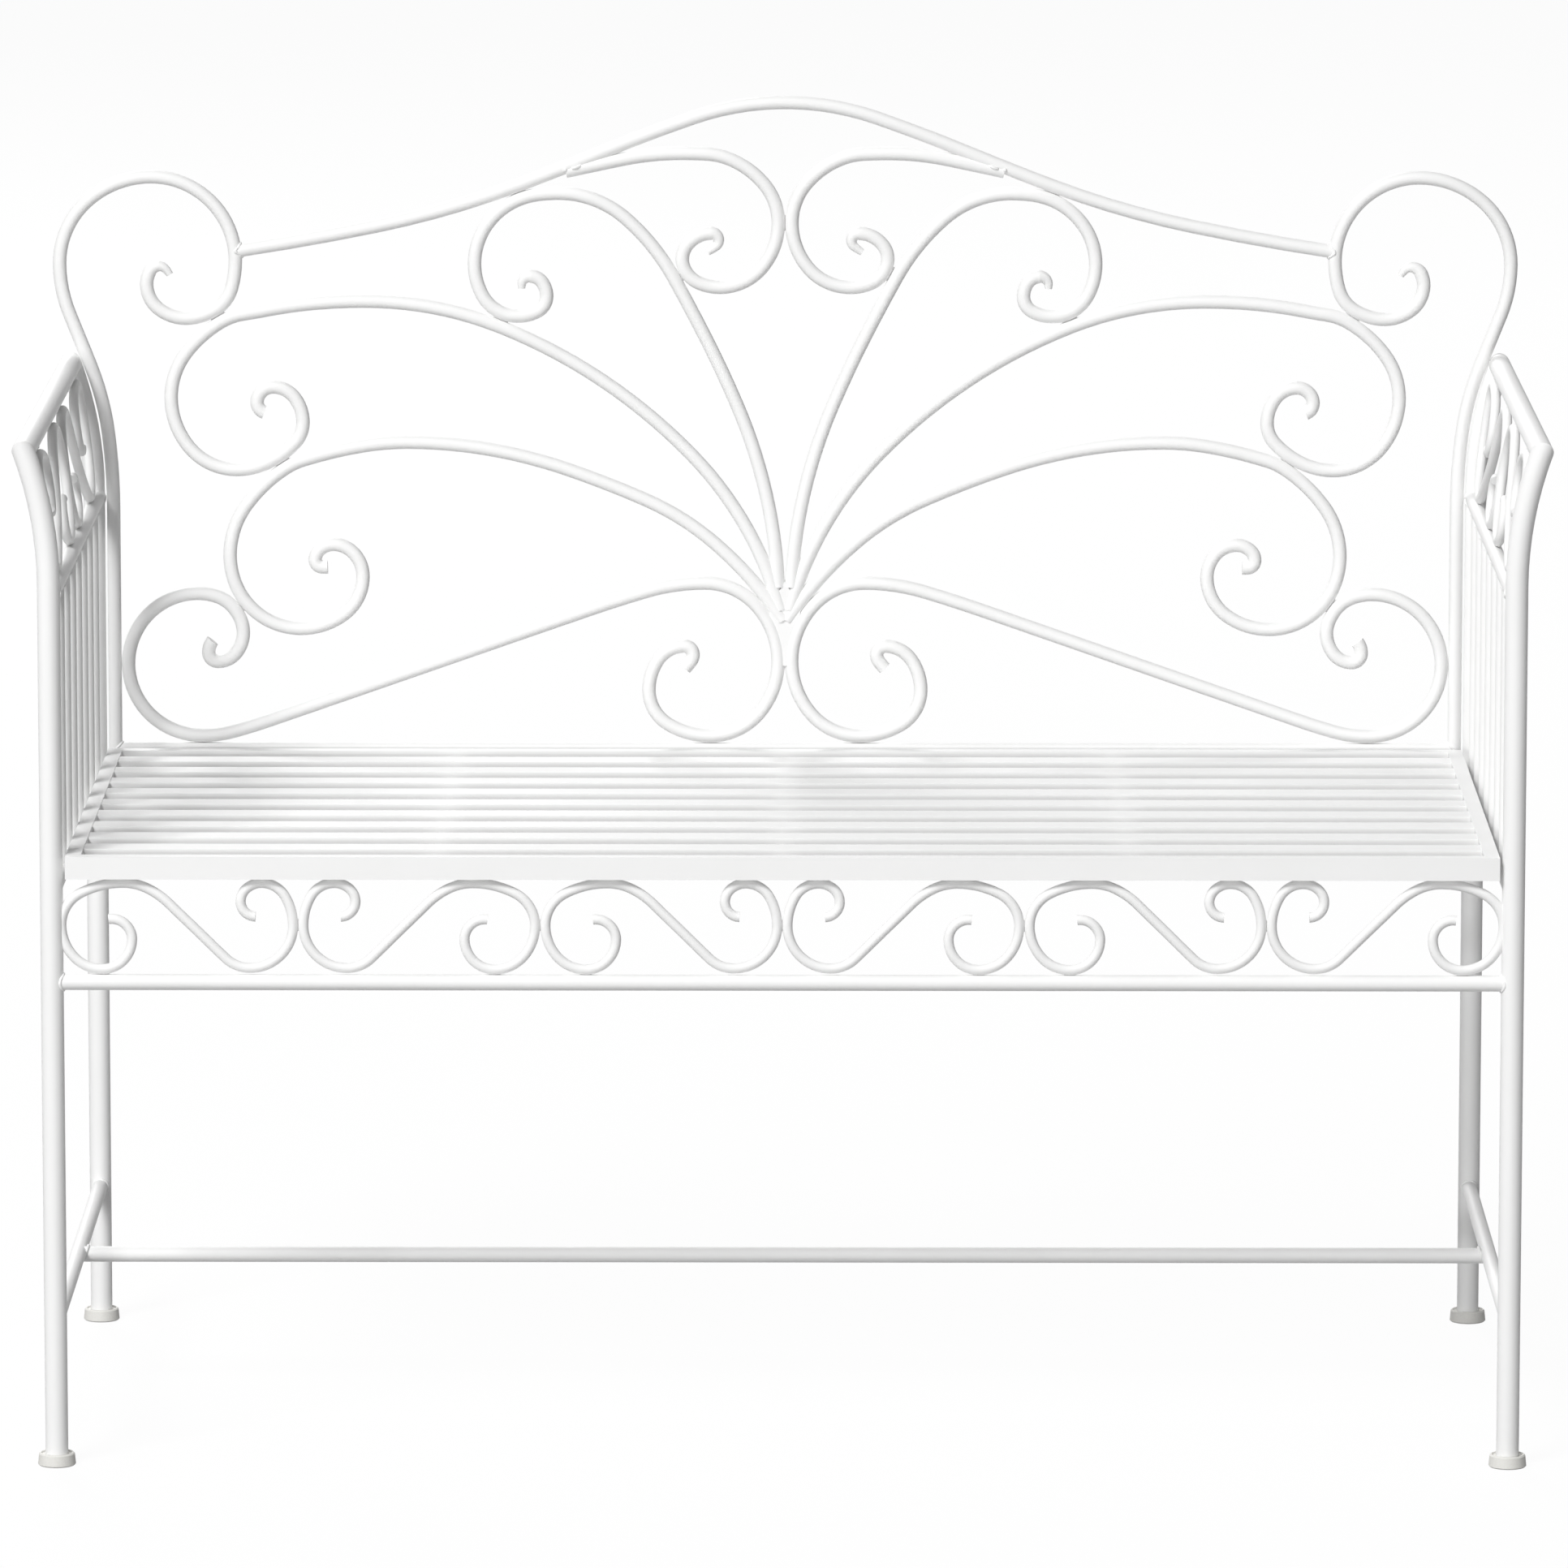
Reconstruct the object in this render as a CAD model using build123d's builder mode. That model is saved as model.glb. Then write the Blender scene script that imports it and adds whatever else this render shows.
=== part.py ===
from build123d import *
import os
from math import atan2, cos, radians, sin, sqrt

# Scrolled wrought-iron daybed. Millimetres. The origin is on the floor, midway between the four legs.
# +X runs along the seat to the right as seen from the front, +Z is up and the front faces -Y.

# Legs and arm rails, bent from one size of round tube
leg_spacing = 1150.0  # between the axes of the left and right legs
leg_depth = 560.0  # between the axes of the front and rear legs
leg_diameter = 18.0
leg_wall = 1.5
arm_height = 810.0  # floor to the axis of the arm rail
arm_band = 112.0  # between the axes of the arm rail and the cross rail under it
arm_flare = 18.5  # how far the arm rail's axis stands outside the leg's axis

# Feet
foot_diameter = 30.0
foot_height = 10.0
foot_floor = 3.0  # rubber under the end of the leg
foot_clearance = 0.1  # round the leg in its socket

# Round cross rails, stretchers and bars
rail_diameter = 12.6
side_rail_drop = 25.0  # top of the seat frame to the axis of the side rail
apron_drop = 101.4  # top of the seat frame to the axis of the apron rail
stretcher_height = 113.0  # floor to the long stretcher's axis
side_stretcher_height = 115.0
side_bar_count = 7
side_bar_diameter = 10.0

# Small scrolls under the seat and in the arms
scroll_rod = 8.0
apron_scroll_count = 6
apron_bite = 5.5  # how far the outer apron scrolls are coped into the legs
arm_scroll_width = 254.0
arm_scroll_overlap = 1.2  # how far the arm scrolls' axis stands outside the inner side of the arm rail
weld_gap = 0.1  # left between rods that lie against each other, for the weld

# Seat panel
seat_height = 490.0  # floor to the top of the seat frame
seat_gap = 2.3  # between the seat frame and the leg
seat_rail_width = 12.0
seat_rail_height = 18.0
seat_rail_wall = 1.5
seat_back_margin = 21.0  # between the seat frame and the axis of the rear legs
slat_count = 9
slat_width = 27.0
slat_height = 10.0
slat_wall = 1.2
slat_drop = 0.5  # top of the slats below the top of the frame
support_width = 12.0
support_pitch = 273.0
tab_width = 20.0
tab_thickness = 3.0
tab_inset = 100.0  # from the leg's axis to the tab
seat_bolt_diameter = 6.0
seat_bolt_length = 10.0

# Back panel of thicker rod
back_rod = 11.2
tip_taper = 0.52  # thickness of the tapered tips against the rod's
crest_rise = 224.0  # axis of the arm rail to the top of the crest
back_rail_rise = 2.0  # top of the bottom rail above the seat frame
stile_foot_drop = 60.0  # top of the seat frame to the lower end of the stile
stile_bend_lead = 14.3  # how far below the leg's bend the stile's begins
spacer_thickness = 1.5  # between the rear leg and the stile
back_bolt_diameter = 5.0
back_bolt_drops = (50.0, 20.0)  # top of the seat frame to the bolts
hub_web = 2.0  # metal behind the rods laid into the hub
hub_proud = 1.6  # how far those rods stand in front of its face
hole_clearance = 0.2  # on the diameter of a bolt

# Places worked out from the sizes above
leg_x = leg_spacing / 2
leg_y = leg_depth / 2
leg_radius = leg_diameter / 2
rail_radius = rail_diameter / 2
arm_x = leg_x + arm_flare
arm_cross_rail_height = arm_height - arm_band
side_seat_rail_height = seat_height - side_rail_drop
apron_rail_height = seat_height - apron_drop
side_x = leg_x - leg_radius + rail_radius  # side rails lie flush with the inner side of the legs
leg_bend_start = arm_cross_rail_height + rail_radius
seat_half = leg_x - leg_radius - seat_gap
seat_front = -leg_y - leg_radius
seat_back = leg_y - seat_back_margin
seat_bottom = seat_height - seat_rail_height
slat_bottom = seat_height - slat_drop - slat_height
rod = back_rod / 2
small_rod = scroll_rod / 2
stile_x = leg_x - leg_radius - spacer_thickness - rod
back_rail_top = seat_height + back_rail_rise
back_rail_z = back_rail_top - rod
crest_z = arm_height + crest_rise - rod
back_bolt_heights = [seat_height - drop for drop in back_bolt_drops]
back_plane = Plane.XZ.offset(-leg_y)

os.makedirs("parts", exist_ok=True)


def save(piece, name):
    """Name a piece and write it to its own file."""
    piece.label = name
    export_step(piece, f"parts/{name}.step")


def mirrored(piece, plane):
    """The same piece made to the other hand."""
    with BuildPart() as copy:
        mirror(piece, about=plane)
    return copy.part


def save_pair(piece, name):
    """Write a piece of the left side and its mirror image on the right."""
    save(piece, f"left_{name}")
    save(mirrored(piece, Plane.YZ), f"right_{name}")


def round_bar(start, end, diameter):
    """A straight solid rod between two points."""
    axis = Vector(*end) - Vector(*start)
    with BuildPart() as bar:
        with BuildSketch(Plane(origin=start, z_dir=axis)):
            Circle(diameter / 2)
        extrude(amount=axis.length)
    return bar.part


def cut_to_fit(piece, *others):
    """Cope a piece round those that it is welded to."""
    with BuildPart() as coped:
        add(piece)
        for other in others:
            add(other, mode=Mode.SUBTRACT)
    return coped.part


# Scrolls. A node is a point of the rod's centre line and its heading in degrees, counted from
# +x towards +z in the plane of the scroll. Two arcs, tangent to each other, join each pair of nodes.


def draw_bends(plane, nodes):
    """Draw the centre line through the nodes in the open BuildLine."""
    for (x0, z0, heading0), (x1, z1, heading1) in zip(nodes, nodes[1:]):
        leaving = Vector(cos(radians(heading0)), sin(radians(heading0)))
        arriving = Vector(cos(radians(heading1)), sin(radians(heading1)))
        chord = Vector(x1 - x0, z1 - z0)
        if leaving.cross(chord).length + arriving.cross(chord).length < 1e-6 * chord.length:
            Line((x0, z0), (x1, z1))
            continue
        ahead = chord.dot(leaving + arriving)
        spread = 2 * (1 - leaving.dot(arriving))
        square = chord.dot(chord)
        if spread < 1e-9:
            reach = square / (2 * ahead)
        else:
            reach = (sqrt(ahead * ahead + spread * square) - ahead) / spread
        middle = (
            (x0 + x1 + reach * (leaving.X - arriving.X)) / 2,
            (z0 + z1 + reach * (leaving.Y - arriving.Y)) / 2,
        )
        first = TangentArc(
            (x0, z0), middle, tangent=plane.x_dir * leaving.X + plane.y_dir * leaving.Y
        )
        TangentArc(middle, (x1, z1), tangent=first % 1)


def draw_eye(node, turns, hand, rod_radius):
    """Curl the end of a rod up from a node: radii in rod radii with the degrees turned at each."""
    x, z, heading = node
    for radius, turn in turns:
        size = radius * rod_radius
        JernArc((x, z), (cos(radians(heading)), sin(radians(heading))), size, hand * turn)
        x -= hand * size * (sin(radians(heading)) - sin(radians(heading + hand * turn)))
        z += hand * size * (cos(radians(heading)) - cos(radians(heading + hand * turn)))
        heading += hand * turn
    return x, z, heading


def scroll(plane, nodes, diameter, end_eye=None, start_eye=None, tip=None):
    """Bend a solid rod along its nodes and curl its ends. An eye is its turns and its hand.

    A tip is more turns of the end eye, over which the rod tapers.
    """
    x, z, heading = nodes[0]
    with BuildPart() as bent:
        with BuildLine(plane):
            draw_bends(plane, nodes)
            if end_eye:
                tip_node = draw_eye(nodes[-1], *end_eye, diameter / 2)
            if start_eye:
                draw_eye((x, z, heading + 180), *start_eye, diameter / 2)
        centre_line = bent.pending_edges_as_wire
        with BuildSketch(Plane(origin=centre_line @ 0, z_dir=centre_line % 0)):
            Circle(diameter / 2)
        sweep()
        if tip:
            with BuildLine(plane):
                draw_eye(tip_node, tip, end_eye[1], diameter / 2)
            tip_line = bent.pending_edges_as_wire
            with BuildSketch(Plane(origin=tip_line @ 0, z_dir=tip_line % 0)):
                Circle(diameter / 2)
            with BuildSketch(Plane(origin=tip_line @ 1, z_dir=tip_line % 1)):
                Circle(diameter / 2 * tip_taper)
            sweep(multisection=True)
    return bent.part


def small_scroll(plane, width, nodes, end_eye, start_eye, turned):
    """A small S-scroll drawn with its big loop on the left of its cell, or turned to the right."""
    hand = 1
    if turned:
        nodes = [(width - x, z, 180 - heading) for x, z, heading in nodes]
        hand = -1
    return scroll(plane, nodes, scroll_rod, (end_eye, hand), (start_eye, hand))


# Legs, arm rails and feet of the left side


def arm_corner_plane():
    """The mitre between the front left leg and its arm rail."""
    bend_radius = (arm_flare**2 + (arm_height - leg_bend_start) ** 2) / (2 * arm_flare)
    lean = atan2(arm_height - leg_bend_start, bend_radius - arm_flare)
    leg_direction = Vector(-sin(lean), 0, cos(lean))
    return Plane(origin=(-arm_x, -leg_y, arm_height), z_dir=leg_direction + Vector(0, 1, 0))


def front_leg():
    """A tube that stands in its foot, leans out above the arm's cross rail and ends in a mitre."""
    corner = arm_corner_plane()
    with BuildPart() as leg:
        with BuildLine(Plane.XZ.offset(leg_y)):
            Line((-leg_x, foot_floor), (-leg_x, leg_bend_start))
            bend = TangentArc(
                (-leg_x, leg_bend_start), (-arm_x, arm_height), tangent=Vector(0, 0, 1)
            )
            Line(bend @ 1, (bend @ 1) + (bend % 1) * leg_diameter)
        with BuildSketch(Plane.XY.offset(foot_floor)):
            with Locations((-leg_x, -leg_y)):
                Circle(leg_radius)
                Circle(leg_radius - leg_wall, mode=Mode.SUBTRACT)
        sweep()
        split(bisect_by=corner, keep=Keep.BOTTOM)
    return leg.part


def arm_rail():
    """The tube between the tops of the two legs."""
    corner = arm_corner_plane()
    with BuildPart() as rail:
        with BuildSketch(Plane.XZ.offset(leg_y + leg_diameter)):
            with Locations((-arm_x, arm_height)):
                Circle(leg_radius)
                Circle(leg_radius - leg_wall, mode=Mode.SUBTRACT)
        extrude(amount=-leg_depth - 2 * leg_diameter)
        split(bisect_by=corner, keep=Keep.TOP)
        rear_corner = Plane(
            origin=(-arm_x, leg_y, arm_height),
            z_dir=(corner.z_dir.X, -corner.z_dir.Y, corner.z_dir.Z),
        )
        split(bisect_by=rear_corner, keep=Keep.TOP)
    return rail.part


def foot():
    """A rubber cup with a recessed ring round the leg."""
    radius = foot_diameter / 2
    socket = leg_radius + foot_clearance
    with BuildPart() as cup:
        with BuildSketch(Plane.XZ):
            with BuildLine():
                Polyline(
                    (0, 0),
                    (radius - 1, 0),
                    (radius, 1),
                    (radius - 0.8, foot_height - 1),
                    (radius - 1.8, foot_height),
                    (radius - 2.6, foot_height),
                    (radius - 3.2, foot_height - 1.2),
                    (socket, foot_height - 1.2),
                    (socket, foot_floor),
                    (0, foot_floor),
                    close=True,
                )
            make_face()
        revolve(axis=Axis.Z)
    return Pos(-leg_x, -leg_y, 0) * cup.part


leg = front_leg()
leg_envelope = Pos(-leg_x, -leg_y, arm_height / 2) * Cylinder(leg_radius, arm_height)
rear_leg_envelope = mirrored(leg_envelope, Plane.XZ)
back_bolt_start = leg_x + leg_radius
back_bolt_length = leg_diameter + spacer_thickness + back_rod * 0.7
with BuildPart() as back_bolt_bores:
    with BuildSketch(Plane.YZ.offset(-back_bolt_start - 1)):
        with Locations(*[(leg_y, height) for height in back_bolt_heights]):
            Circle((back_bolt_diameter + hole_clearance) / 2)
    extrude(amount=back_bolt_length + 1.5)
save_pair(leg, "front_leg")
save_pair(cut_to_fit(mirrored(leg, Plane.XZ), back_bolt_bores.part), "rear_leg")
save_pair(arm_rail(), "arm_rail")
save_pair(foot(), "front_foot")
save_pair(mirrored(foot(), Plane.XZ), "rear_foot")


# Side rails, coped round both legs, and the bars between them


def side_rail(height):
    bar = round_bar((-side_x, -leg_y, height), (-side_x, leg_y, height), rail_diameter)
    return cut_to_fit(bar, leg_envelope, rear_leg_envelope)


arm_cross_rail = side_rail(arm_cross_rail_height)
side_seat_rail = side_rail(side_seat_rail_height)
side_stretcher = cut_to_fit(
    round_bar(
        (-leg_x, -leg_y, side_stretcher_height), (-leg_x, leg_y, side_stretcher_height), rail_diameter
    ),
    leg_envelope,
    rear_leg_envelope,
)
save_pair(arm_cross_rail, "arm_cross_rail")
save_pair(side_seat_rail, "side_seat_rail")
save_pair(side_stretcher, "side_stretcher")

bar_pitch = leg_depth / (side_bar_count + 1)
with BuildPart() as side_bars:
    for i in range(side_bar_count):
        bar_y = -leg_y + bar_pitch * (i + 1)
        add(
            round_bar(
                (-side_x, bar_y, side_seat_rail_height),
                (-side_x, bar_y, arm_cross_rail_height),
                side_bar_diameter,
            )
        )
    add(arm_cross_rail, mode=Mode.SUBTRACT)
    add(side_seat_rail, mode=Mode.SUBTRACT)
save_pair(side_bars.part, "side_bars")

long_stretcher = round_bar(
    (-leg_x, 0, stretcher_height), (leg_x, 0, stretcher_height), rail_diameter
)
save(
    cut_to_fit(long_stretcher, side_stretcher, mirrored(side_stretcher, Plane.YZ)),
    "long_stretcher",
)


# Arm scrolls, in a plane that leans from the cross rail to the inner side of the arm rail


def arm_scroll_nodes(width, height):
    """The arm's scroll in its cell. Its loops touch the rail above and the rail below."""

    def at(across, up, heading):
        return (width * across / 100, height * up / 100, heading)

    bottom = small_rod + weld_gap
    top = height - small_rod - weld_gap
    return [
        at(30.7, 24.3, -90),
        (width * 0.197, bottom, 180),
        (small_rod, height * 0.508, 90),
        (width * 0.213, top, 0),
        at(38.2, 72.0, -50),
        at(70.9, 11.2, -25),
        (width * 0.803, bottom, 0),
        (width - small_rod, height * 0.508, 90),
        (width * 0.89, top, 180),
        at(65.7, 64.8, -90),
    ]


scroll_top_x = arm_x - leg_radius + arm_scroll_overlap
scroll_reach = leg_radius + small_rod
scroll_top_z = arm_height - sqrt(scroll_reach**2 - (arm_x - scroll_top_x) ** 2)
arm_lean = Vector(side_x - scroll_top_x, 0, scroll_top_z - arm_cross_rail_height)
arm_scroll_height = arm_lean.length + small_rod - rail_radius
arm_scroll_foot = Vector(-side_x, 0, arm_cross_rail_height) + arm_lean.normalized() * rail_radius
front_scroll_plane = Plane(
    origin=arm_scroll_foot - Vector(0, weld_gap / 2 + arm_scroll_width, 0),
    x_dir=(0, 1, 0),
    z_dir=Vector(0, 1, 0).cross(arm_lean),
)
arm_scroll = small_scroll(
    front_scroll_plane,
    arm_scroll_width,
    arm_scroll_nodes(arm_scroll_width, arm_scroll_height),
    [(5.0, 80), (2.2, 60)],
    [(4.0, 60), (2.6, 55)],
    turned=True,
)
save_pair(arm_scroll, "front_arm_scroll")
save_pair(mirrored(arm_scroll, Plane.XZ), "rear_arm_scroll")


# Apron under the front edge of the seat

apron_rail = cut_to_fit(
    round_bar(
        (-leg_x, -leg_y, apron_rail_height), (leg_x, -leg_y, apron_rail_height), rail_diameter
    ),
    leg_envelope,
    mirrored(leg_envelope, Plane.YZ),
)
save(apron_rail, "apron_rail")


def apron_scroll_nodes(width, height):
    """The apron's scroll in its cell. Its loops touch the seat frame and the rail below."""

    def at(across, up, heading):
        return (width * across / 100, height * up / 100, heading)

    bottom = small_rod + weld_gap
    top = height - small_rod - weld_gap
    return [
        at(31.3, 36.5, -90),
        (width * 0.189, bottom, 180),
        (small_rod, height * 0.508, 90),
        (width * 0.278, top, 0),
        at(46.8, 73.0, -45),
        at(61.6, 37.0, -45),
        (width * 0.8, bottom + small_rod / 4, 0),
        (width - small_rod, height * 0.508, 90),
        (width * 0.85, top, 180),
        at(76.3, 75.4, -90),
    ]


apron_half = leg_x - leg_radius + apron_bite
apron_cell = 2 * apron_half / apron_scroll_count
apron_bottom = apron_rail_height + rail_radius
for i in range(apron_scroll_count):
    cell_origin = (-apron_half + apron_cell * i + weld_gap / 2, -leg_y, apron_bottom)
    cell_width = apron_cell - weld_gap
    apron_scroll = small_scroll(
        Plane(origin=cell_origin, x_dir=(1, 0, 0), z_dir=(0, -1, 0)),
        cell_width,
        apron_scroll_nodes(cell_width, seat_bottom - apron_bottom),
        [(3.0, 88)],
        [(4.0, 98)],
        turned=i % 2 == 1,
    )
    coped = cut_to_fit(apron_scroll, leg_envelope, mirrored(leg_envelope, Plane.YZ))
    save(coped, f"apron_scroll_{i + 1}")


# Seat panel: a mitred frame of rectangular tube, with slats and three supports under them


def seat_rail_section(height_middle, across_middle):
    """The wall of the frame's tube, drawn in the open sketch."""
    with Locations((across_middle, height_middle)):
        Rectangle(seat_rail_width, seat_rail_height)
        Rectangle(
            seat_rail_width - 2 * seat_rail_wall,
            seat_rail_height - 2 * seat_rail_wall,
            mode=Mode.SUBTRACT,
        )


seat_middle_z = seat_height - seat_rail_height / 2
front_mitre = Plane(origin=(-seat_half, seat_front, 0), z_dir=(1, -1, 0))
rear_mitre = Plane(origin=(-seat_half, seat_back, 0), z_dir=(1, 1, 0))
with BuildPart() as seat_front_rail:
    with BuildSketch(Plane.YZ):
        seat_rail_section(seat_middle_z, seat_front + seat_rail_width / 2)
    extrude(amount=seat_half, both=True)
    split(bisect_by=front_mitre, keep=Keep.TOP)
    split(
        bisect_by=Plane(origin=(seat_half, seat_front, 0), z_dir=(-1, -1, 0)), keep=Keep.TOP
    )
with BuildPart() as seat_rear_rail:
    with BuildSketch(Plane.YZ):
        seat_rail_section(seat_middle_z, seat_back - seat_rail_width / 2)
    extrude(amount=seat_half, both=True)
    split(bisect_by=rear_mitre, keep=Keep.TOP)
    split(bisect_by=Plane(origin=(seat_half, seat_back, 0), z_dir=(-1, 1, 0)), keep=Keep.TOP)
tab_places = (-leg_y + tab_inset, leg_y - tab_inset)
seat_bolt_x = -seat_half + seat_rail_width / 2
with BuildPart() as seat_side_rail:
    with BuildSketch(Plane.XZ.offset(-seat_front)):
        seat_rail_section(seat_middle_z, seat_bolt_x)
    extrude(amount=seat_front - seat_back)
    split(bisect_by=front_mitre, keep=Keep.BOTTOM)
    split(bisect_by=rear_mitre, keep=Keep.BOTTOM)
    with Locations(*[(seat_bolt_x, y, seat_bottom) for y in tab_places]):
        Cylinder((seat_bolt_diameter + hole_clearance) / 2, seat_rail_wall * 3, mode=Mode.SUBTRACT)
save(seat_front_rail.part, "seat_front_rail")
save(seat_rear_rail.part, "seat_rear_rail")
save_pair(seat_side_rail.part, "seat_side_rail")

slat_half_length = seat_half - seat_rail_width
inner_front = seat_front + seat_rail_width
inner_depth = seat_back - seat_rail_width - inner_front
slat_space = (inner_depth - slat_count * slat_width) / (slat_count + 1)
slat_pitch = slat_space + slat_width
slat_middle = slat_bottom + slat_height / 2
slat_centres = [
    (inner_front + slat_space + slat_width / 2 + slat_pitch * i, slat_middle)
    for i in range(slat_count)
]
with BuildPart() as seat_slats:
    with BuildSketch(Plane.YZ):
        with Locations(*slat_centres):
            Rectangle(slat_width, slat_height)
            Rectangle(
                slat_width - 2 * slat_wall, slat_height - 2 * slat_wall, mode=Mode.SUBTRACT
            )
    extrude(amount=slat_half_length, both=True)
save(seat_slats.part, "seat_slats")

with BuildPart() as seat_supports:
    with BuildSketch(Plane.XZ.offset(-inner_front)):
        with Locations(
            *[(x, (seat_bottom + slat_bottom) / 2) for x in (-support_pitch, 0, support_pitch)]
        ):
            Rectangle(support_width, slat_bottom - seat_bottom)
    extrude(amount=-inner_depth)
save(seat_supports.part, "seat_supports")

# The seat panel is bolted down on four tabs on the inner side of the side rails
tab_length = side_x - slat_half_length
with BuildPart() as seat_tabs:
    for y in tab_places:
        with BuildSketch(Plane.XY.offset(seat_bottom - tab_thickness)):
            with Locations((-side_x + tab_length / 2, y)):
                Rectangle(tab_length, tab_width)
        extrude(amount=tab_thickness)
    add(side_seat_rail, mode=Mode.SUBTRACT)
    with Locations(*[(seat_bolt_x, y, seat_bottom) for y in tab_places]):
        Cylinder((seat_bolt_diameter + hole_clearance) / 2, tab_thickness * 3, mode=Mode.SUBTRACT)
save_pair(seat_tabs.part, "seat_tabs")


def button_bolt(diameter, length):
    """A button-head bolt with a hexagon socket, its head's underside on the XY plane."""
    head = diameter * 0.9
    head_height = diameter * 0.55
    with BuildPart() as bolt:
        with BuildSketch(Plane.XZ):
            with BuildLine():
                outline = Polyline((0, 0), (head, 0), (head, -head_height / 4))
                crown = ThreePointArc(
                    outline @ 1, (head * 0.65, -head_height * 0.85), (head / 3, -head_height)
                )
                Polyline(crown @ 1, (0, -head_height), (0, 0))
            make_face()
        revolve(axis=Axis.Z)
        Cylinder(diameter / 2, length, align=(Align.CENTER, Align.CENTER, Align.MIN))
        with BuildSketch(Plane.XY.offset(-head_height)):
            RegularPolygon(diameter / 3, 6)
        extrude(amount=head_height / 2, mode=Mode.SUBTRACT)
    return bolt.part


seat_bolt = button_bolt(seat_bolt_diameter, seat_bolt_length)
with BuildPart() as seat_bolts:
    with Locations(*[(seat_bolt_x, y, seat_bottom - tab_thickness) for y in tab_places]):
        add(seat_bolt)
    mirror(about=Plane.YZ)
save(seat_bolts.part, "seat_bolts")


# Back panel. Its left half is drawn on a grid: percent of the way from the middle to the stile's
# axis, and percent of the way up from the top of the bottom rail to the crest's axis.


def grid(across, up, heading):
    return (
        -stile_x * across / 100,
        back_rail_top + (crest_z - back_rail_top) * up / 100,
        heading,
    )


def beside(contact, heading, side):
    """A node that lays the rod along a contact point, on the left (1) or right (-1) of it."""
    x, z, _ = contact
    offset = (rod + weld_gap / 2) * side
    return (x - offset * sin(radians(heading)), z + offset * cos(radians(heading)), heading)


loop_bottom = back_rail_top + rod + weld_gap
by_stile = -stile_x + back_rod + weld_gap
by_twin = -rod - weld_gap / 2

# Where one rod of the left half lies against another
stile_meets_second = grid(84.2, 66.8, 0)
second_meets_third = grid(74.9, 43.9, 0)
third_meets_lower = grid(81.3, 21.6, 0)
first_meets_second = grid(42.2, 66.2, 0)
first_meets_crest = grid(39.6, 86.0, 0)
first_meets_top = grid(15.7, 73.4, 0)

stile = scroll(
    back_plane,
    [
        (-stile_x, seat_height - stile_foot_drop, 90),
        (-stile_x, leg_bend_start - stile_bend_lead, 90),
        (-stile_x - arm_flare, arm_height, 111.5),
        grid(107.7, 74.9, 90),
        grid(94.0, 88.4, 0),
        grid(81.6, 75.5, -90),
        beside(stile_meets_second, 210, -1),
        grid(89.0, 66.4, 180),
        grid(94.8, 71.7, 90),
    ],
    back_rod,
    ([(4.0, 27)], -1),
    tip=[(1.6, 63), (1.3, 45), (4.5, 14)],
)

crest_left = [
    grid(81.5, 76.9, 8.5),
    beside(first_meets_crest, 20.5, 1),
    grid(26.8, 92.4, 22.3),
]
crest_right = [(-x, z, -heading) for x, z, heading in reversed(crest_left)]
crest = cut_to_fit(
    scroll(back_plane, [*crest_left, grid(0, 100, 0), *crest_right], back_rod),
    stile,
    mirrored(stile, Plane.YZ),
)

bottom_rail = cut_to_fit(
    round_bar((-stile_x, leg_y, back_rail_z), (stile_x, leg_y, back_rail_z), back_rod),
    stile,
    mirrored(stile, Plane.YZ),
)

lower_scroll = scroll(
    back_plane,
    [
        grid(84.6, 12.7, 0),
        grid(80.8, 17.3, 90),
        beside(third_meets_lower, 127, 1),
        grid(87.5, 23.4, 180),
        (by_stile, back_rail_top + (crest_z - back_rail_top) * 0.123, -90),
        (-stile_x * 0.871, loop_bottom, 0),
        grid(76.9, 3.5, 19.25),
        grid(29.5, 20.8, 19.25),
        grid(11.9, 25.1, 0),
        (by_twin, back_rail_top + (crest_z - back_rail_top) * 0.128, -90),
        (-stile_x * 0.112, loop_bottom, 180),
        grid(20.3, 8.3, 90),
        grid(15.0, 15.2, 0),
    ],
    back_rod,
    ([(1.3, 90), (1.6, 35), (9.0, 9)], -1),
    ([(1.4, 90), (2.8, 38)], -1),
)

third_scroll = scroll(
    back_plane,
    [
        grid(0.3, 19.3, 124),
        grid(10.4, 31.3, 139),
        grid(32.4, 42.9, 161),
        grid(56.2, 47.1, 180),
        grid(68.7, 45.2, 195),
        beside(second_meets_third, 213, 1),
        grid(82.7, 29.3, -90),
        beside(third_meets_lower, -53, 1),
        grid(72.2, 17.9, 0),
        grid(62.9, 26.1, 90),
        grid(67.3, 31.1, 180),
    ],
    back_rod,
    ([(3.0, 45), (2.0, 45), (1.1, 85), (6.0, 8)], 1),
)

first_scroll = scroll(
    back_plane,
    [
        grid(1.0, 24.5, 92),
        grid(7.1, 52.9, 113),
        beside(first_meets_top, 119, 1),
        grid(33.6, 85.9, 180),
        beside(first_meets_crest, 200.5, 1),
        grid(46.1, 74.9, -90),
        beside(first_meets_second, -21.5, 1),
        grid(39.6, 66.8, 0),
        grid(35.4, 69.9, 90),
        grid(37.8, 73.0, 180),
    ],
    back_rod,
    ([], 1),
    tip=[(1.3, 85), (6.0, 6)],
)

second_scroll = scroll(
    back_plane,
    [
        grid(0.7, 20.9, 105),
        grid(13.9, 45.2, 134),
        beside(first_meets_second, 158.5, 1),
        grid(62.5, 69.1, 180),
        grid(77.0, 67.7, 191),
        beside(stile_meets_second, 210, 1),
        grid(91.3, 54.0, -90),
        grid(81.6, 42.8, 0),
        beside(second_meets_third, 33, 1),
        grid(71.7, 50.2, 90),
        grid(76.1, 55.7, 180),
    ],
    back_rod,
    ([(2.5, 45), (2.2, 45), (1.6, 70)], 1),
)

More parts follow.
